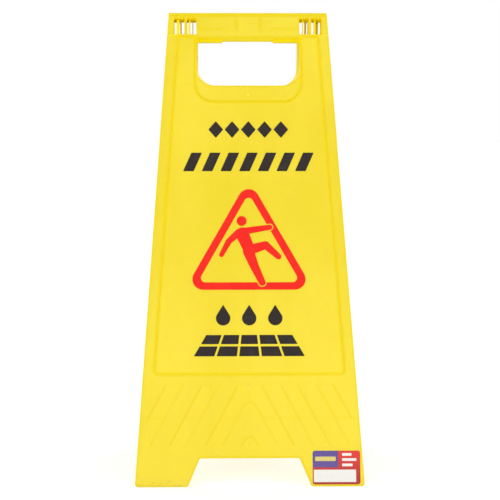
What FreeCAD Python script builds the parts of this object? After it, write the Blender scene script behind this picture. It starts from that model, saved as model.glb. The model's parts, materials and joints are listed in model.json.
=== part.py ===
import FreeCAD, Part
import math
import os

from FreeCAD import Vector

# Folding wet floor sign: two identical injection-moulded panels that snap together along the top edge
# and stand as an A. Each panel is designed flat, in its own coordinates:
#   x  across the panel, from its centreline
#   v  down the panel, from its top edge
#   w  through the panel, from its printed front face towards the other panel
# It is then leaned about the hinge axis. World frame: +Z up, front face towards -Y, origin on the floor
# midway between the feet. Millimetres throughout.

# Panel
PANEL_LENGTH = 630.0
TOP_WIDTH = 212.0
FOOT_WIDTH = 296.0
DEPTH = 16.0          # front face to the plane where the folded panels meet
MEETING_GAP = 0.25    # each panel's walls stop this far short of that plane
FACE = 2.4            # thickness of the face
WALL = 2.0            # thickness of the rim that stands behind it
LEAN = 13.0           # degrees of each panel from upright, standing open
EDGE_ROUND = 1.2
TOP_ROUND = 4.5

# Cut-out between the feet
ARCH_TOP = 593.3
ARCH_TOP_HALF = 64.7
ARCH_FOOT_HALF = 80.0

# Hand hole and the raised rim around it
HOLE_TOP = 36.0
HOLE_BOTTOM = 100.0
HOLE_HALF = 67.1
HOLE_CORNER = 24.0
THROAT_FLARE = 2.4    # how much wider the hole is at the front face, each side
THROAT_DEPTH = 5.0
RIM_HALF = 70.2
RIM_BOTTOM = 122.0
LIP_HEIGHT = 2.0      # finger lip inside the rail, either side of its middle
LIP_START = 34.0

# Top rail
RAIL_BOTTOM = 32.6
CREASE_DROP = 23.2
CREASE_WIDTH = 1.2
CREASE_DEPTH = 0.35
CREASES = (28.0, 66.0)
DIMPLES = (12.0, 21.0)    # soft dimples either side of the rail's middle
DIMPLE_TOP = 7.5
DIMPLE_BOTTOM = 28.5
DIMPLE_DEPTH = 0.9
DIMPLE_SLOPE = 3.5

# Sunk printing field
FIELD_BORDER = 13.9
FIELD_BOTTOM = 486.0
FIELD_DEPTH = 1.5
STEP_SLOPE = 1.5      # width of the sloping step round the field

# Pressed chevrons over the feet
CHEVRON_TOP = 497.7
CHEVRON_BOTTOM = 578.8
CHEVRON_BORDER = 8.0
CHEVRON_PITCH = 23.3
CHEVRON_SPREAD = 0.54     # sideways travel per unit of drop
CHEVRON_FIRST = 15.0      # half-width of the middle chevron at its top
CHEVRON_DEPTH = 0.5
CHEVRON_SLOPE = 1.4       # width of each band's sloping edges
CHEVRON_END_SLOPE = 4.0
CHEVRON_APEX = 8.0

# Marks left by the mould's two gates, on the centreline
GATES = (113.7, 502.8)
GATE_DIMPLE = 2.0
GATE_STUB = 0.9

# Snap hinge
AXIS_DROP = 7.5       # hinge axis below the top edge, on the meeting plane
PIN_RADIUS = 2.5
PIN_PLAY = 0.08       # radial play of the pin in the clips
PIN_CLEARANCE = 0.5
CLIP_RADIUS = 4.8
CLIP_CLEARANCE = 0.6
CLIP_MOUTH = 50.0     # half-angle of the mouth, degrees
STOP_GAP = 0.1        # each rail's stop face stands this far back from the other's
WINDOW_TOP = 8.5
WINDOW_BOTTOM = 30.6
WINDOWS = ((69.0, 81.6), (85.0, 98.8))
WINDOW_WALL = 1.8
GUSSETS = ((73.4, 74.6), (89.0, 91.0))
CLIPS = ((77.0, 79.4), (91.6, 95.4))

# Stiffening ribs behind the face
RIB = 1.6
RIB_HEIGHT = 6.5
CROSS_RIBS = (130.0, 232.0, 334.0, 436.0, 541.0)
LONG_RIBS = (-50.0, 0.0, 50.0)
HOLE_RIB = 98.0       # short ribs beside the hand hole
EJECTOR_RADIUS = 4.0
EJECTOR_HEIGHT = 0.3
SOLE = 2.6

# Print and stock label
INK = 0.12
LABEL = 0.10
LABEL_INK = 0.05
LABEL_LEFT, LABEL_RIGHT = 80.8, 142.1
LABEL_TOP, LABEL_BOTTOM = 584.2, 627.3

AXIS_HEIGHT = ((PANEL_LENGTH - AXIS_DROP) * math.cos(math.radians(LEAN))
               - DEPTH * math.sin(math.radians(LEAN)))


# ---------------------------------------------------------------- outlines

def half_width(v):
    """Half the panel's width at drop v."""
    return (TOP_WIDTH + (FOOT_WIDTH - TOP_WIDTH) * v / PANEL_LENGTH) / 2.0


def both_sides(right):
    """Closed outline from the right-hand corners, listed upwards: (x, v, corner radius)."""
    return right + [(-x, v, r) for x, v, r in reversed(right)]


def inset(points, distance):
    """The outline moved inwards by distance (outwards if negative). Corners run anticlockwise."""
    count = len(points)
    moved = []
    for i in range(count):
        (xa, va, _), (xb, vb, radius), (xc, vc, _) = points[i - 1], points[i], points[(i + 1) % count]
        first = Vector(xb - xa, va - vb, 0).normalize()
        second = Vector(xc - xb, vb - vc, 0).normalize()
        turn = first.x * second.y - first.y * second.x
        along = distance * (1 - first.dot(second)) / turn
        left = Vector(-first.y, first.x, 0)
        corner = Vector(xb, -vb, 0) + left * distance - first * along
        change = -distance if turn > 0 else distance
        moved.append((corner.x, -corner.y, max(radius + change, 0.4)))
    return moved


def at(x, v, w):
    return Vector(x, w, -v)


def outline_wire(points, w):
    """Wire through the corners at depth w, each corner rounded by its own radius."""
    count = len(points)
    corners = []
    for i in range(count):
        before, here, after = (at(*points[(i + k) % count][:2], w) for k in (-1, 0, 1))
        radius = points[i][2]
        back = (before - here).normalize()
        on = (after - here).normalize()
        half = back.getAngle(on) / 2.0
        middle = (back + on).normalize()
        reach = radius / math.tan(half)
        crown = here + middle * (radius / math.sin(half) - radius)
        corners.append((here + back * reach, crown, here + on * reach))
    edges = []
    for i in range(count):
        start, crown, end = corners[i]
        edges.append(Part.Arc(start, crown, end).toShape())
        edges.append(Part.LineSegment(end, corners[(i + 1) % count][0]).toShape())
    return Part.Wire(edges)


def slab(points, w_start, w_end):
    """Solid of one outline between two depths."""
    return Part.Face(outline_wire(points, w_start)).extrude(Vector(0, w_end - w_start, 0))


def tapered(points, slope, w_start, w_end):
    """Solid whose outline shrinks by slope (grows if negative) from the first depth to the second."""
    wires = [outline_wire(points, w_start), outline_wire(inset(points, slope), w_end)]
    return Part.makeLoft(wires, True, True)


def box(x0, x1, v0, v1, w0, w1):
    return Part.makeBox(x1 - x0, w1 - w0, v1 - v0, at(x0, v1, w0))


def rectangle(x0, x1, v0, v1, radius):
    return [(x0, v1, radius), (x1, v1, radius), (x1, v0, radius), (x0, v0, radius)]


def rod(radius, x0, x1):
    """Cylinder along the hinge axis."""
    return Part.makeCylinder(radius, x1 - x0, at(x0, AXIS_DROP, DEPTH), Vector(1, 0, 0))


def profile_bar(corners, x0, x1):
    """Prism across the panel from a (v, w) profile."""
    points = [at(x0, v, w) for v, w in corners]
    return Part.Face(Part.makePolygon(points + points[:1])).extrude(Vector(x1 - x0, 0, 0))


def joined(solids):
    first, *rest = solids
    return first.fuse(rest) if rest else first


PANEL_OUTLINE = both_sides([
    (ARCH_TOP_HALF, ARCH_TOP, 3.0), (ARCH_FOOT_HALF, PANEL_LENGTH, 4.5),
    (FOOT_WIDTH / 2, PANEL_LENGTH, 4.5), (TOP_WIDTH / 2, 0.0, 2.2)])
HOLE_OUTLINE = both_sides([(HOLE_HALF, HOLE_BOTTOM, HOLE_CORNER), (HOLE_HALF, HOLE_TOP, 1.0)])
RIM_OUTLINE = both_sides([(RIM_HALF, RIM_BOTTOM, HOLE_CORNER), (RIM_HALF, CREASE_DROP, 1.0)])
FIELD_OUTLINE = both_sides([
    (half_width(FIELD_BOTTOM) - FIELD_BORDER, FIELD_BOTTOM, 7.0),
    (half_width(RAIL_BOTTOM) - FIELD_BORDER, RAIL_BOTTOM, 2.5)])
CHEVRON_OUTLINE = both_sides([
    (half_width(CHEVRON_BOTTOM) - CHEVRON_BORDER, CHEVRON_BOTTOM, 4.0),
    (half_width(CHEVRON_TOP) - CHEVRON_BORDER, CHEVRON_TOP, 4.0)])


# ---------------------------------------------------------------- one moulded panel

def shell():
    """Face with its rim: a shallow tray, its front edges rounded."""
    outer = slab(PANEL_OUTLINE, 0.0, DEPTH - MEETING_GAP)
    front_edges = [e for e in outer.Edges if all(abs(p.Point.y) < 1e-6 for p in e.Vertexes)]
    outer = outer.makeFillet(EDGE_ROUND, front_edges)
    corner = box(-TOP_WIDTH, TOP_WIDTH, -1.0, TOP_ROUND, -1.0, TOP_ROUND)
    centre = at(-TOP_WIDTH, TOP_ROUND, TOP_ROUND)
    rounding = Part.makeCylinder(TOP_ROUND, 2 * TOP_WIDTH, centre, Vector(1, 0, 0))
    outer = outer.cut(corner.cut(rounding))
    return outer, outer.cut(slab(inset(PANEL_OUTLINE, WALL), FACE, DEPTH))


def hole_wall():
    """Wall round the hand hole, thicker where the hole flares to the front."""
    wall = slab(inset(HOLE_OUTLINE, -WALL), FACE / 2, DEPTH - MEETING_GAP)
    throat = slab(inset(HOLE_OUTLINE, -WALL - THROAT_FLARE / 2), FACE / 2, THROAT_DEPTH + 1.5)
    return wall.fuse(throat)


def hole_cut():
    """The hand hole: flared at the front, straight behind, less the lips under the rail."""
    wide_half = HOLE_HALF + THROAT_FLARE
    wide = both_sides([(wide_half, HOLE_BOTTOM + 1.0, HOLE_CORNER), (wide_half, HOLE_TOP - 0.3, 1.0)])
    flare = Part.makeLoft([outline_wire(wide, 0.0), outline_wire(HOLE_OUTLINE, THROAT_DEPTH)], True, True)
    cut = flare.fuse(slab(HOLE_OUTLINE, THROAT_DEPTH, DEPTH + 1.0))
    for side in (-1, 1):
        ends = sorted((side * LIP_START, side * (HOLE_HALF + 1.0)))
        lip = box(*ends, HOLE_TOP - 1.0, HOLE_TOP + LIP_HEIGHT, DEPTH / 2, DEPTH + 2.0)
        cut = cut.cut(lip)
    return cut


def rail_cuts():
    """Crease along each half of the rail, and the soft dimples either side of its middle."""
    cuts = []
    for side in (-1, 1):
        x0, x1 = sorted(side * x for x in CREASES)
        groove = [(CREASE_DROP - CREASE_WIDTH / 2, -0.01), (CREASE_DROP, CREASE_DEPTH),
                  (CREASE_DROP + CREASE_WIDTH / 2, -0.01)]
        cuts.append(profile_bar(groove, x0, x1))
        x0, x1 = sorted(side * x for x in DIMPLES)
        dimple = rectangle(x0, x1, DIMPLE_TOP, DIMPLE_BOTTOM, DIMPLE_SLOPE + 0.5)
        cuts.append(tapered(dimple, DIMPLE_SLOPE, 0.0, DIMPLE_DEPTH))
    return cuts


def field_backing():
    """Thickens the face behind the sunk field, so that the wall stays even, but not behind the rim."""
    back = FACE + FIELD_DEPTH
    plate = slab(inset(FIELD_OUTLINE, -1.0), FACE / 2, back)
    return plate.cut(slab(inset(RIM_OUTLINE, WALL), FACE, back + 1.0))


def field_cut():
    """Sunk printing field with sloping steps, running up both sides of the hand hole's rim."""
    field = tapered(FIELD_OUTLINE, STEP_SLOPE, 0.0, FIELD_DEPTH)
    return field.cut(tapered(RIM_OUTLINE, -STEP_SLOPE, 0.0, FIELD_DEPTH))


def chevron(half_at_top):
    """Corners of the chevron whose sides are half_at_top from the centreline at the chevrons' top."""
    apex = CHEVRON_TOP - half_at_top / CHEVRON_SPREAD
    low = CHEVRON_BOTTOM + 2 * CHEVRON_APEX
    reach = (low - apex) * CHEVRON_SPREAD
    return [(-reach, low, 1.0), (reach, low, 1.0), (0.0, apex, CHEVRON_APEX)]


def chevron_cuts():
    """Every other chevron band, sunk with sloping edges."""
    area = tapered(CHEVRON_OUTLINE, CHEVRON_END_SLOPE, 0.0, CHEVRON_DEPTH)
    cuts = []
    for step in (-2, 0, 2, 4):
        half = CHEVRON_FIRST + step * CHEVRON_PITCH
        band = tapered(chevron(half), CHEVRON_SLOPE, 0.0, CHEVRON_DEPTH).common(area)
        if step > -2:
            band = band.cut(tapered(chevron(half - CHEVRON_PITCH), -CHEVRON_SLOPE, 0.0, CHEVRON_DEPTH))
        cuts.append(band)
    return cuts


def small_marks():
    """Shallow line where the rail ends on each border, and the dimples round the gate marks."""
    cuts = []
    for side in (-1, 1):
        ends = sorted((side * (half_width(RAIL_BOTTOM) - FIELD_BORDER), side * TOP_WIDTH))
        cuts.append(box(*ends, RAIL_BOTTOM - 0.9, RAIL_BOTTOM, -1.0, 0.3))
    for v in GATES:
        dimple = Part.makeCylinder(GATE_DIMPLE, 1.3, at(0, v, -1.0), Vector(0, 1, 0))
        stub = Part.makeCylinder(GATE_STUB, 1.0, at(0, v, 0.05), Vector(0, 1, 0))
        cuts.append(dimple.cut(stub))
    return cuts


def ribs():
    """Cross and long ribs on the back of the face, and short ones beside the hand hole."""
    back = FACE + RIB_HEIGHT
    solids = []
    for v in CROSS_RIBS:
        reach = half_width(v) - WALL / 2
        solids.append(box(-reach, reach, v, v + RIB, FACE / 2, back))
    for x in LONG_RIBS:
        solids.append(box(x - RIB / 2, x + RIB / 2, CROSS_RIBS[0], ARCH_TOP - WALL / 2, FACE / 2, back))
    for side in (-1, 1):
        ends = sorted((side * HOLE_HALF, side * (half_width(HOLE_RIB) - WALL / 2)))
        solids.append(box(*ends, HOLE_RIB, HOLE_RIB + RIB, FACE / 2, back))
    return solids


def ejector_pads():
    """Round pads where the ejector pins pushed, two rows of four in each bay between the ribs."""
    height = FIELD_DEPTH + EJECTOR_HEIGHT
    solids = []
    for high, low in zip(CROSS_RIBS, CROSS_RIBS[1:]):
        for x in (-75.0, -25.0, 25.0, 75.0):
            for share in (0.25, 0.75):
                middle = at(x, high + (low - high) * share, FACE)
                solids.append(Part.makeCylinder(EJECTOR_RADIUS, height, middle, Vector(0, 1, 0)))
    return solids


def window_frames():
    """Block each pair of hinge windows is cut through, leaving walls and the web between the two."""
    inner = WINDOWS[0][0] - WINDOW_WALL
    outer = WINDOWS[-1][1] + WINDOW_WALL
    solids = []
    for side in (-1, 1):
        ends = sorted((side * inner, side * outer))
        solids.append(box(*ends, WINDOW_TOP - WINDOW_WALL, WINDOW_BOTTOM + WINDOW_WALL,
                          FACE / 2, DEPTH - MEETING_GAP))
    return solids


def window_cuts():
    cuts = []
    for side in (-1, 1):
        for a, b in WINDOWS:
            outline = rectangle(*sorted((side * a, side * b)), WINDOW_TOP, WINDOW_BOTTOM, 0.8)
            cuts.append(slab(outline, -1.0, DEPTH + 1.0))
    return cuts


def hinge_bars():
    """Upright bars across the windows: gussets for the pin on the right, clip carriers on the left."""
    low = WINDOW_BOTTOM + WINDOW_WALL / 2
    high = WALL / 2
    gussets = [box(a, b, high, low, 6.0, DEPTH - MEETING_GAP) for a, b in GUSSETS]
    carriers = [box(-b, -a, high, low, 7.0, DEPTH - PIN_RADIUS) for a, b in CLIPS]
    return gussets + carriers


def stop_cut():
    """Bevel on the rail above the hinge axis: the two rails butt together here when the sign is open."""
    rise = AXIS_DROP + 3.0
    step_back = rise * math.tan(math.radians(LEAN))
    corners = [(AXIS_DROP, DEPTH - STOP_GAP), (AXIS_DROP - rise, DEPTH - STOP_GAP - step_back),
               (AXIS_DROP - rise, DEPTH + 3.0), (AXIS_DROP, DEPTH + 3.0)]
    return profile_bar(corners, -TOP_WIDTH, TOP_WIDTH)


def hinge_clearances():
    """Room for the other panel's pin on the left, and for its clips on the right."""
    pin_reach = WINDOWS[-1][1] + WINDOW_WALL + PIN_CLEARANCE
    pin_start = WINDOWS[0][0] - WINDOW_WALL - PIN_CLEARANCE
    cuts = [rod(PIN_RADIUS + PIN_CLEARANCE, -pin_reach, -pin_start)]
    for a, b in CLIPS:
        cuts.append(rod(CLIP_RADIUS + CLIP_CLEARANCE, a - 0.4, b + 0.4))
    return cuts


def hinge_pin():
    return rod(PIN_RADIUS, WINDOWS[0][0] - WINDOW_WALL, WINDOWS[-1][1] + WINDOW_WALL)


def clip(a, b):
    """Open ring that snaps over the other panel's pin, mouth away from its own face."""
    mouth_reach = 2 * CLIP_RADIUS
    rise = mouth_reach * math.sin(math.radians(CLIP_MOUTH))
    run = mouth_reach * math.cos(math.radians(CLIP_MOUTH))
    mouth = profile_bar([(AXIS_DROP, DEPTH), (AXIS_DROP - rise, DEPTH + run),
                         (AXIS_DROP - rise, DEPTH + mouth_reach), (AXIS_DROP + rise, DEPTH + mouth_reach),
                         (AXIS_DROP + rise, DEPTH + run)], -b - 1.0, -a + 1.0)
    return rod(CLIP_RADIUS, -b, -a).cut(mouth)


def flat_panel():
    """One moulding before it is leaned, and the plain block that its soles are taken from."""
    block, tray = shell()
    body = tray.fuse([hole_wall(), field_backing()] + ribs() + ejector_pads() + window_frames())
    body = body.cut([hole_cut(), field_cut()] + rail_cuts() + chevron_cuts())
    body = body.cut(small_marks() + window_cuts())
    body = body.fuse(hinge_bars())
    body = body.cut([stop_cut()] + hinge_clearances())
    body = body.fuse([hinge_pin()] + [clip(a, b) for a, b in CLIPS])
    bore = rod(PIN_RADIUS + PIN_PLAY, -WINDOWS[-1][1], -WINDOWS[0][0])
    return body.cut(bore), block


# ---------------------------------------------------------------- placing in the world

def lean(shape, side):
    """Stand a flat shape up as part of the front (side 0) or the rear (side 1) panel."""
    placed = shape.copy()
    placed.translate(Vector(0, -DEPTH, AXIS_DROP))
    placed.rotate(Vector(0, 0, 0), Vector(1, 0, 0), -LEAN)
    placed.translate(Vector(0, 0, AXIS_HEIGHT))
    placed.rotate(Vector(0, 0, 0), Vector(0, 0, 1), 180.0 * side)
    return placed


def panel(side):
    """A moulding in place, its feet closed by soles and cut flat on the floor."""
    body, block = flat_panel()
    spread = 4 * FOOT_WIDTH
    above = Part.makeBox(spread, spread, SOLE, Vector(-spread / 2, -spread / 2, 0))
    below = Part.makeBox(spread, spread, PANEL_LENGTH, Vector(-spread / 2, -spread / 2, -PANEL_LENGTH))
    soles = lean(block, side).common(above)
    return lean(body, side).fuse(soles).cut(below).removeSplitter()


# ---------------------------------------------------------------- print

def inked(outlines):
    """Ink film on the sunk field, one solid for each outline."""
    return [slab(points, FIELD_DEPTH - INK, FIELD_DEPTH) for points in outlines]


def diamond_row():
    pitch, half_wide, half_high, middle = 21.6, 9.8, 11.4, 160.6
    return inked([[(x - half_wide, middle, 0.8), (x, middle + half_high, 0.8),
                   (x + half_wide, middle, 0.8), (x, middle - half_high, 0.8)]
                  for x in (pitch * k for k in (-2, -1, 0, 1, 2))])


def hazard_stripes():
    """Seven slanted bars."""
    top, bottom, span, width, slant, count = 191.9, 216.8, 173.0, 14.0, 11.0, 7
    pitch = (span - width - slant) / (count - 1)
    starts = [-span / 2 + k * pitch for k in range(count)]
    return inked([[(x, bottom, 0.6), (x + width, bottom, 0.6),
                   (x + width + slant, top, 0.6), (x + slant, top, 0.6)] for x in starts])


def figure(grow):
    """Slipping figure, a head and round-ended limbs, all of them thicker by grow."""
    limbs = [((-8.5, 301.0), (0.5, 322.0), 8.8, 7.6),
             ((-5.0, 297.0), (27.5, 292.0), 4.6, 3.5),
             ((-13.5, 299.0), (-26.5, 311.0), 4.8, 4.0),
             ((-26.5, 311.0), (-36.0, 328.5), 4.0, 3.1),
             ((2.5, 321.5), (22.0, 315.8), 6.8, 5.2),
             ((22.0, 315.8), (38.8, 331.0), 5.2, 3.9),
             ((-0.5, 324.0), (7.0, 343.5), 7.4, 5.8),
             ((7.0, 343.5), (17.3, 365.2), 5.8, 4.5)]
    solids = [limb(start, end, thick + grow, thin + grow) for start, end, thick, thin in limbs]
    head = Part.makeCylinder(6.6 + grow, INK, at(-9.4, 283.6, FIELD_DEPTH - INK), Vector(0, 1, 0))
    return joined(solids).removeSplitter(), head


def limb(start, end, thick, thin):
    """Ink film round two circles and the tangents between them, thick at the start and thin at the end."""
    a = at(*start, FIELD_DEPTH - INK)
    b = at(*end, FIELD_DEPTH - INK)
    along = (b - a).normalize()
    across = along.cross(Vector(0, 1, 0))
    lean_in = math.asin((thick - thin) / (b - a).Length)
    left = across * math.cos(lean_in) + along * math.sin(lean_in)
    right = across * -math.cos(lean_in) + along * math.sin(lean_in)
    edges = [Part.LineSegment(a + left * thick, b + left * thin).toShape(),
             Part.Arc(b + left * thin, b + along * thin, b + right * thin).toShape(),
             Part.LineSegment(b + right * thin, a + right * thick).toShape(),
             Part.Arc(a + right * thick, a - along * thick, a + left * thick).toShape()]
    return Part.Face(Part.Wire(edges)).extrude(Vector(0, INK, 0))


def warning_triangle():
    """Triangle frame with round corners, broken where the figure crosses it."""
    round_off, stroke, gap = 14.0, 9.8, 1.3
    middles = [(-60.1, 360.8, 0.0), (60.1, 360.8, 0.0), (0.0, 255.1, 0.0)]
    outer = inset(middles, -round_off)
    outer = [(x, v, round_off) for x, v, _ in outer]
    inner = [(x, v, 6.0) for x, v, _ in inset(outer, stroke)]
    frame = slab(outer, FIELD_DEPTH - INK, FIELD_DEPTH).cut(slab(inner, FIELD_DEPTH - INK, FIELD_DEPTH))
    return [frame.cut(list(figure(gap)))]


def slipping_figure():
    return list(figure(0.0))


def water_drops():
    """Three drops, each a circle with two tangents up to its tip."""
    pitch, top, bottom, radius = 34.0, 394.5, 421.6, 9.4
    rise = bottom - radius - top
    tilt = math.asin(radius / rise)
    drops = []
    for x in (-pitch, 0.0, pitch):
        tip = at(x, top, FIELD_DEPTH - INK)
        middle = at(x, bottom - radius, FIELD_DEPTH - INK)
        side = Vector(math.cos(tilt), 0, math.sin(tilt)) * radius
        other = Vector(-side.x, 0, side.z)
        edges = [Part.LineSegment(tip, middle + other).toShape(),
                 Part.Arc(middle + other, middle - Vector(0, 0, radius), middle + side).toShape(),
                 Part.LineSegment(middle + side, tip).toShape()]
        drops.append(Part.Face(Part.Wire(edges)).extrude(Vector(0, INK, 0)))
    return drops


def floor_tiles():
    """Two rows of five tiles drawn in perspective."""
    top, bottom, far_half, near_half, joint, columns = 434.1, 461.8, 56.0, 72.2, 3.0, 5
    rows = ((top, 446.0), (446.0 + joint, bottom))
    tiles = []
    for high, low in rows:
        for k in range(columns):
            corners = []
            for v, ends in ((low, (0, 1)), (high, (1, 0))):
                half = far_half + (near_half - far_half) * (v - top) / (bottom - top)
                pitch = (2 * half + joint) / columns
                for end in ends:
                    corners.append((-half + (k + end) * pitch - end * joint, v, 0.6))
            tiles.append(corners)
    return inked(tiles)


PRINT = {"diamond_row": diamond_row, "hazard_stripes": hazard_stripes, "warning_triangle": warning_triangle,
         "slipping_figure": slipping_figure, "water_drops": water_drops, "floor_tiles": floor_tiles}


# ---------------------------------------------------------------- stock label on the front right foot

def label_patch(left, right, top, bottom, radius):
    """Printed patch on the label, placed by its distances from the label's top left corner."""
    points = rectangle(LABEL_LEFT + left, LABEL_LEFT + right, LABEL_TOP + top, LABEL_TOP + bottom, radius)
    return slab(points, -LABEL - LABEL_INK, -LABEL)


def stock_label():
    return [slab(rectangle(LABEL_LEFT, LABEL_RIGHT, LABEL_TOP, LABEL_BOTTOM, 3.0), -LABEL, 0.0)]


def stock_label_blue_patch():
    """Fills the top left corner of the label, so only that corner is fully rounded."""
    left, right, top, bottom = LABEL_LEFT, LABEL_LEFT + 33.0, LABEL_TOP, LABEL_TOP + 21.4
    points = [(left, bottom, 0.4), (right, bottom, 0.4), (right, top, 0.4), (left, top, 3.0)]
    return [slab(points, -LABEL - LABEL_INK, -LABEL)]


def stock_label_yellow_bar():
    """Plain bar in place of a name, standing on the blue patch."""
    points = rectangle(LABEL_LEFT + 3.2, LABEL_LEFT + 29.8, LABEL_TOP + 7.6, LABEL_TOP + 13.2, 1.2)
    return [slab(points, -LABEL - 2 * LABEL_INK, -LABEL - LABEL_INK)]


def stock_label_white_patches():
    """Blank writing panel, and plain bars in place of wording."""
    bars = [label_patch(38.0, 38.0 + length, top, top + 3.4, 0.6)
            for length, top in ((12.2, 3.2), (18.4, 9.8), (13.4, 16.6))]
    return [label_patch(1.3, 55.8, 24.3, 40.1, 0.8)] + bars


LABEL_PARTS = {"stock_label": stock_label, "stock_label_blue_patch": stock_label_blue_patch,
               "stock_label_yellow_bar": stock_label_yellow_bar,
               "stock_label_white_patches": stock_label_white_patches}


# ---------------------------------------------------------------- writing the parts

def save(name, solids):
    shape = solids[0] if len(solids) == 1 else Part.makeCompound(solids)
    shape.exportStep(f"parts/{name}.step")


def main():
    os.makedirs("parts", exist_ok=True)
    for side, place in enumerate(("front", "rear")):
        save(f"{place}_panel", [panel(side)])
        for name, draw in PRINT.items():
            save(f"{place}_{name}", [lean(solid, side) for solid in draw()])
    for name, draw in LABEL_PARTS.items():
        save(name, [lean(solid, 0) for solid in draw()])


main()
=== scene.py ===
import json
import math

import bpy
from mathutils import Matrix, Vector


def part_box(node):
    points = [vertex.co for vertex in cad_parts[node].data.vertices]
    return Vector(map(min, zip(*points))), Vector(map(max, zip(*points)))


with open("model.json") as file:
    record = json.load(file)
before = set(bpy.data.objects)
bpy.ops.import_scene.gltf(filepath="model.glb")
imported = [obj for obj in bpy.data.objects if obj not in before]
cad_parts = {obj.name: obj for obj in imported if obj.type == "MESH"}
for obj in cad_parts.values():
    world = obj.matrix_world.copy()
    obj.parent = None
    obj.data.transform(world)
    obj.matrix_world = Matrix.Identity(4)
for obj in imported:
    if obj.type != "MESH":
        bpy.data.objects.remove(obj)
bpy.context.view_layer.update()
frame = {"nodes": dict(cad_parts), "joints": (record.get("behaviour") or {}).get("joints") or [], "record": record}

# The folding floor sign stands open at the origin, its front panel facing -Y. Metres throughout;
# a drop is measured down the panel from its top edge.
LEAN = math.radians(13.0)              # each panel from upright
PANEL_DEPTH = 0.016
AXIS_DROP = 0.0075
AXIS_HEIGHT = frame["joints"][0]["pos_m"][2]
TOP_SHADE_BAND = (0.0038, 0.0055)            # painted shade over the rounded top of the rail, heights above the hinge axis
GATE_DROPS = (0.1137, 0.5028)          # injection points, on the centreline
GATE_RADIUS = 0.0018
HOLE_REACH = 0.072                     # half-width of the hand hole with its rim
HOLE_FADE = 0.004
DIMPLE_DROP = 0.018                    # middles of the two soft dimples in the rail
DIMPLE_OFFSET = 0.0165
DIMPLE_HALF_WIDTH = 0.0045
DIMPLE_HALF_HEIGHT = 0.0105

# Camera
CAMERA_PLACE = (-0.0436, -2.2, 0.469)
CAMERA_DOWN = 4.58                     # degrees below level
CAMERA_RIGHT = 1.22                    # degrees to the right of straight ahead
CAMERA_LENS = 116.4                    # millimetres, on a sensor 36 wide
SENSOR_WIDTH = 36.0

# Four softboxes at one height, in degrees round from the front
SOFTBOX_SIDES = (-138.0, -42.0, 42.0, 138.0)
SOFTBOX_ELEVATION = 22.0
SOFTBOX_SPREAD = 30.0
SOFTBOX_STRENGTH = 0.95

FLOOR_HALF = 30.0
FLOOR_GREY = 0.42
FLOOR_GLOW = 0.56

# Yellow plastic
RICH_YELLOW = (0.610, 0.495, 0.018, 1.0)
PALE_YELLOW = (0.645, 0.535, 0.034, 1.0)
PALEST_YELLOW = (0.670, 0.565, 0.050, 1.0)
# painted shade: a darker, deeper yellow for edges, creases, the rail's top, its dimples and the hand hole's walls
PAINTED_SHADE_YELLOW = (0.600, 0.465, 0.000, 1.0)
# painted glow: a brighter yellow put where shade falls in hollows, on undersides and inside the A
PAINTED_GLOW_YELLOW = (0.950, 0.765, 0.000, 1.0)
STUB_YELLOW = (0.680, 0.620, 0.220, 1.0)
GRIME = (0.400, 0.310, 0.070, 1.0)
EDGE_RADIUS = 0.0045
RECESS_REACH = 0.030


# ---------------------------------------------------------------- camera, light and floor

def make_camera():
    """Level with the upper half of the sign, a little to its left, looking slightly down."""
    data = bpy.data.cameras.new("photo_camera")
    data.sensor_width = SENSOR_WIDTH
    data.lens = CAMERA_LENS
    camera = bpy.data.objects.new("photo_camera", data)
    camera.location = CAMERA_PLACE
    camera.rotation_euler = (math.radians(90.0 - CAMERA_DOWN), 0.0, math.radians(-CAMERA_RIGHT))
    bpy.context.scene.collection.objects.link(camera)
    bpy.context.scene.camera = camera


def make_softbox(azimuth):
    """Broad soft light from one side; azimuth 0 is from the front, 90 from the right."""
    name = f"softbox_{azimuth:.0f}"
    data = bpy.data.lights.new(name, "SUN")
    data.energy = SOFTBOX_STRENGTH
    data.angle = math.radians(SOFTBOX_SPREAD)
    light = bpy.data.objects.new(name, data)
    up, around = math.radians(SOFTBOX_ELEVATION), math.radians(azimuth)
    towards = Vector((math.sin(around) * math.cos(up), -math.cos(around) * math.cos(up), math.sin(up)))
    light.rotation_euler = towards.to_track_quat("Z", "Y").to_euler()
    bpy.context.scene.collection.objects.link(light)


def make_world():
    """Even white light from all round, shown without tone mapping."""
    world = bpy.data.worlds.new("studio")
    bpy.context.scene.world = world
    world.use_nodes = True
    background = world.node_tree.nodes["Background"]
    background.inputs["Color"].default_value = (1.0, 1.0, 1.0, 1.0)
    background.inputs["Strength"].default_value = 1.0
    bpy.context.scene.view_settings.view_transform = "Standard"


def make_floor():
    """Wide matt floor, lit a little from within so that it runs into the white background."""
    half = FLOOR_HALF
    mesh = bpy.data.meshes.new("studio_floor")
    corners = [(-half, -half, 0), (half, -half, 0), (half, half, 0), (-half, half, 0)]
    mesh.from_pydata(corners, [], [(0, 1, 2, 3)])
    floor = bpy.data.objects.new("studio_floor", mesh)
    bpy.context.scene.collection.objects.link(floor)
    material = bpy.data.materials.new("pale_floor")
    material.use_nodes = True
    shader = material.node_tree.nodes["Principled BSDF"]
    shader.inputs["Base Color"].default_value = (FLOOR_GREY, FLOOR_GREY, FLOOR_GREY, 1.0)
    shader.inputs["Roughness"].default_value = 0.9
    shader.inputs["Specular IOR Level"].default_value = 0.1
    shader.inputs["Emission Color"].default_value = (1.0, 1.0, 1.0, 1.0)
    shader.inputs["Emission Strength"].default_value = FLOOR_GLOW
    floor.data.materials.append(material)


# ---------------------------------------------------------------- node graph helpers

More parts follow.
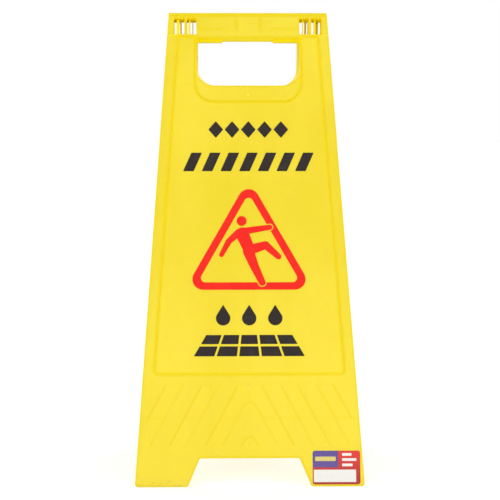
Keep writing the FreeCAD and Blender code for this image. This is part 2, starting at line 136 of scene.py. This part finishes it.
class Graph:
    """A material's node tree, with short calls that return output sockets.

    place is the point on the object, and facing its normal there; both stay with the object as it moves.
    """

    def __init__(self, name):
        self.material = bpy.data.materials.new(name)
        self.material.use_nodes = True
        self.tree = self.material.node_tree
        self.shader = self.tree.nodes["Principled BSDF"]
        coordinates = self.tree.nodes.new("ShaderNodeTexCoord")
        self.place = coordinates.outputs["Object"]
        self.facing = coordinates.outputs["Normal"]

    def node(self, kind, **settings):
        made = self.tree.nodes.new(kind)
        for key, value in settings.items():
            setattr(made, key, value)
        return made

    def feed(self, socket, value):
        if isinstance(value, bpy.types.NodeSocket):
            self.tree.links.new(value, socket)
        else:
            socket.default_value = value

    def math(self, operation, *values):
        """One Math node; each value is a number or a socket."""
        made = self.node("ShaderNodeMath", operation=operation)
        for socket, value in zip(made.inputs, values):
            self.feed(socket, value)
        return made.outputs[0]

    def noise(self, scale, detail=2.0, roughness=0.5, stretch=(1.0, 1.0, 1.0)):
        mapping = self.node("ShaderNodeMapping")
        self.feed(mapping.inputs["Vector"], self.place)
        mapping.inputs["Scale"].default_value = stretch
        made = self.node("ShaderNodeTexNoise")
        self.feed(made.inputs["Vector"], mapping.outputs[0])
        made.inputs["Scale"].default_value = scale
        made.inputs["Detail"].default_value = detail
        made.inputs["Roughness"].default_value = roughness
        return made.outputs["Fac"]

    def openness(self, distance):
        """1 on an open surface, lower in a recess."""
        made = self.node("ShaderNodeAmbientOcclusion", samples=8, only_local=True)
        made.inputs["Distance"].default_value = distance
        return made.outputs["AO"]

    def flatness(self, radius):
        """1 on a flat surface, lower within the radius of an edge or a crease."""
        rounded = self.node("ShaderNodeBevel", samples=8)
        rounded.inputs["Radius"].default_value = radius
        made = self.node("ShaderNodeVectorMath", operation="DOT_PRODUCT")
        self.feed(made.inputs[0], rounded.outputs[0])
        self.feed(made.inputs[1], self.node("ShaderNodeNewGeometry").outputs["True Normal"])
        return made.outputs["Value"]

    def axis(self, name, vector=None):
        """X, Y or Z of place, or of another vector."""
        split = self.node("ShaderNodeSeparateXYZ")
        self.feed(split.inputs[0], vector or self.place)
        return split.outputs[name]

    def times(self, value, factor):
        return self.math("MULTIPLY", value, factor)

    def ramp(self, value, low, high, out_low=0.0, out_high=1.0):
        """Smooth step from out_low to out_high as the value goes from low to high."""
        made = self.node("ShaderNodeMapRange", interpolation_type="SMOOTHSTEP")
        for socket, number in zip(made.inputs, (value, low, high, out_low, out_high)):
            self.feed(socket, number)
        return made.outputs[0]

    def mix(self, factor, first, second):
        """Colour between the first and the second; a colour Mix node's sockets are 6, 7 and 2."""
        made = self.node("ShaderNodeMix", data_type="RGBA")
        self.feed(made.inputs["Factor"], factor)
        self.feed(made.inputs[6], first)
        self.feed(made.inputs[7], second)
        return made.outputs[2]

    def bump(self, height, distance, normal=None):
        made = self.node("ShaderNodeBump")
        self.feed(made.inputs["Height"], height)
        made.inputs["Distance"].default_value = distance
        if normal is not None:
            self.feed(made.inputs["Normal"], normal)
        return made.outputs[0]

    def finish(self, colour, roughness, normal):
        self.feed(self.shader.inputs["Base Color"], colour)
        self.feed(self.shader.inputs["Roughness"], roughness)
        self.feed(self.shader.inputs["Normal"], normal)
        return self.material


# ---------------------------------------------------------------- materials

def face_height(drop):
    """Height above the floor of a point on a panel's front face."""
    return AXIS_HEIGHT - (drop - AXIS_DROP) * math.cos(LEAN) + PANEL_DEPTH * math.sin(LEAN)


def gate_marks(g):
    """1 on the small pale stubs left by the injection points, 0 elsewhere."""
    marks = None
    for drop in GATE_DROPS:
        up = g.math("SUBTRACT", g.axis("Z"), face_height(drop))
        across = g.math("POWER", g.axis("X"), 2.0)
        away = g.math("SQRT", g.math("ADD", across, g.math("POWER", up, 2.0)))
        spot = g.ramp(away, GATE_RADIUS, GATE_RADIUS * 0.5)
        marks = spot if marks is None else g.math("MAXIMUM", marks, spot)
    return marks


def rail_dimple_shade(g):
    """Painted shade in the rail's two soft dimples: 1 in the middle, fading to 0 around them."""
    across = g.math("SUBTRACT", g.math("ABSOLUTE", g.axis("X")), DIMPLE_OFFSET)
    up = g.math("SUBTRACT", g.axis("Z"), face_height(DIMPLE_DROP))
    across = g.math("POWER", g.math("DIVIDE", across, DIMPLE_HALF_WIDTH), 2.0)
    up = g.math("POWER", g.math("DIVIDE", up, DIMPLE_HALF_HEIGHT), 2.0)
    return g.ramp(g.math("ADD", across, up), 1.4, 0.2)


def hole_wall_shade(g):
    """Painted shade on the hand hole's side walls: 1 on faces turned to the side and no further out than the
    hole's rim, 0 elsewhere.
    """
    sideways = g.ramp(g.math("ABSOLUTE", g.axis("X", g.facing)), 0.25, 0.60)
    near = g.ramp(g.math("ABSOLUTE", g.axis("X")), HOLE_REACH + HOLE_FADE, HOLE_REACH)
    return g.times(sideways, near)


def painted_glow_mask(g):
    """Painted glow, 0 to 1: a brighter, deeper yellow painted in hollows, on undersides and inside the A, where
    shade falls.
    """
    underside = g.ramp(g.axis("Z", g.facing), -0.60, -0.90, 0.0, 0.7)
    inwards = g.times(g.math("SIGN", g.axis("Y")), g.axis("Y", g.facing))
    hidden = g.math("MAXIMUM", underside, g.ramp(inwards, -0.40, -0.85, 0.0, 0.6))
    return g.math("MAXIMUM", g.ramp(g.openness(RECESS_REACH), 0.95, 0.55), hidden)


def yellow_polypropylene():
    """Moulded satin plastic: spark-eroded grain, flow marks, painted shade along edges, painted glow in hollows,
    painted light towards the feet, scuffed feet.
    """
    g = Graph("yellow_polypropylene")
    flow = g.noise(9.0, 3.0, 0.55, stretch=(1.0, 1.0, 0.45))
    cloud = g.noise(38.0, 3.0, 0.6)
    scuff = g.noise(160.0, 5.0, 0.7, stretch=(1.0, 1.0, 3.0))
    # mask of the painted glow in hollows; it also roughens them
    recess = painted_glow_mask(g)
    worn = g.times(g.ramp(g.axis("Z"), 0.016, 0.001), g.ramp(scuff, 0.48, 0.66))

    # Flow marks and clouds; paler towards the feet as painted light thrown up from the floor
    colour = g.mix(g.ramp(flow, 0.35, 0.68), RICH_YELLOW, PALE_YELLOW)
    colour = g.mix(g.ramp(cloud, 0.60, 0.80, 0.0, 0.30), colour, PALEST_YELLOW)
    colour = g.mix(g.ramp(g.axis("Z"), 0.45, 0.04, 0.0, 0.45), colour, PALEST_YELLOW)

    # Painted shade: a darker, deeper yellow along edges and creases, over the top of the rail, in its dimples and
    # beside the hand hole
    top = g.ramp(g.axis("Z"), AXIS_HEIGHT + TOP_SHADE_BAND[0], AXIS_HEIGHT + TOP_SHADE_BAND[1], 0.0, 0.8)
    colour = g.mix(g.ramp(g.flatness(EDGE_RADIUS), 0.999, 0.965), colour, PAINTED_SHADE_YELLOW)
    colour = g.mix(top, colour, PAINTED_SHADE_YELLOW)
    colour = g.mix(g.times(rail_dimple_shade(g), 0.5), colour, PAINTED_SHADE_YELLOW)
    colour = g.mix(g.times(hole_wall_shade(g), 0.9), colour, PAINTED_SHADE_YELLOW)

    # Painted glow: a brighter, deeper yellow where surfaces face each other, in place of light coming through the
    # plastic; then gate stubs and dirt on the feet
    colour = g.mix(recess, colour, PAINTED_GLOW_YELLOW)
    colour = g.mix(g.times(gate_marks(g), 0.5), colour, STUB_YELLOW)
    colour = g.mix(g.times(worn, 0.45), colour, GRIME)

    roughness = g.math("ADD", g.ramp(scuff, 0.40, 0.75, 0.42, 0.56), g.times(worn, 0.2))
    roughness = g.math("ADD", roughness, g.times(recess, 0.4))
    wavy = g.bump(flow, 0.0012)
    grain = g.bump(g.noise(2600.0, 2.0, 0.6), 0.00003, wavy)
    g.shader.inputs["Specular IOR Level"].default_value = 0.15
    g.shader.inputs["IOR"].default_value = 1.49
    g.shader.inputs["Subsurface Weight"].default_value = 0.5
    g.shader.inputs["Subsurface Radius"].default_value = (1.0, 0.75, 0.05)
    g.shader.inputs["Subsurface Scale"].default_value = 0.004
    return g.finish(colour, roughness, grain)


def printed_ink(name, dark, light, gloss):
    """Screen-printed ink: even, with a trace of mesh texture and thin patches."""
    g = Graph(name)
    patches = g.noise(70.0, 4.0, 0.6)
    colour = g.mix(g.ramp(patches, 0.45, 0.75), dark, light)
    roughness = g.ramp(g.noise(420.0, 3.0, 0.6), 0.35, 0.70, gloss, gloss + 0.12)
    mesh = g.bump(g.noise(3200.0, 1.0, 0.5), 0.00002)
    g.shader.inputs["Specular IOR Level"].default_value = 0.22
    return g.finish(colour, roughness, mesh)


def label_film(name, near, shaded_foot):
    """Glossy printed film, darker towards the foot of the label as painted shade."""
    g = Graph(name)
    low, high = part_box("stock_label")
    # painted shade: the film darkens from the label's top to its foot
    foot_shade = g.ramp(g.axis("Z"), high.z, low.z)
    mottle = g.ramp(g.noise(500.0, 2.0, 0.5), 0.40, 0.62, -0.06, 0.06)
    colour = g.mix(g.math("ADD", foot_shade, mottle), near, shaded_foot)
    ripple = g.bump(g.noise(55.0, 1.0, 0.5), 0.0008)
    roughness = g.ramp(g.noise(300.0, 3.0, 0.6), 0.35, 0.70, 0.20, 0.30)
    g.shader.inputs["Coat Weight"].default_value = 0.15
    return g.finish(colour, roughness, ripple)


def make_materials():
    """Every material, by the slot it fills in the record."""
    return {
        "yellow_panel": yellow_polypropylene(),
        "black_ink": printed_ink("black_ink", (0.013, 0.008, 0.007, 1.0), (0.022, 0.015, 0.012, 1.0), 0.42),
        "red_ink": printed_ink("red_ink", (0.63, 0.006, 0.001, 1.0), (0.67, 0.012, 0.003, 1.0), 0.40),
        # each label film runs from its own colour at the top to a darker painted shade at the foot
        "label_red": label_film("label_red", (0.52, 0.020, 0.012, 1.0), (0.29, 0.014, 0.010, 1.0)),
        "label_blue": label_film("label_blue", (0.080, 0.048, 0.210, 1.0), (0.090, 0.052, 0.210, 1.0)),
        "label_white": label_film("label_white", (0.62, 0.61, 0.57, 1.0), (0.60, 0.59, 0.55, 1.0)),
        "label_yellow": label_film("label_yellow", (0.53, 0.43, 0.11, 1.0), (0.53, 0.43, 0.11, 1.0)),
    }


def dress_nodes(materials):
    """Gives each CAD node its slot's material."""
    for part in frame["record"]["subparts"]:
        node = frame["nodes"][part["node"]]
        node.data.materials.clear()
        node.data.materials.append(materials[part["material_slot"]])


make_camera()
make_world()
for side in SOFTBOX_SIDES:
    make_softbox(side)
make_floor()
dress_nodes(make_materials())
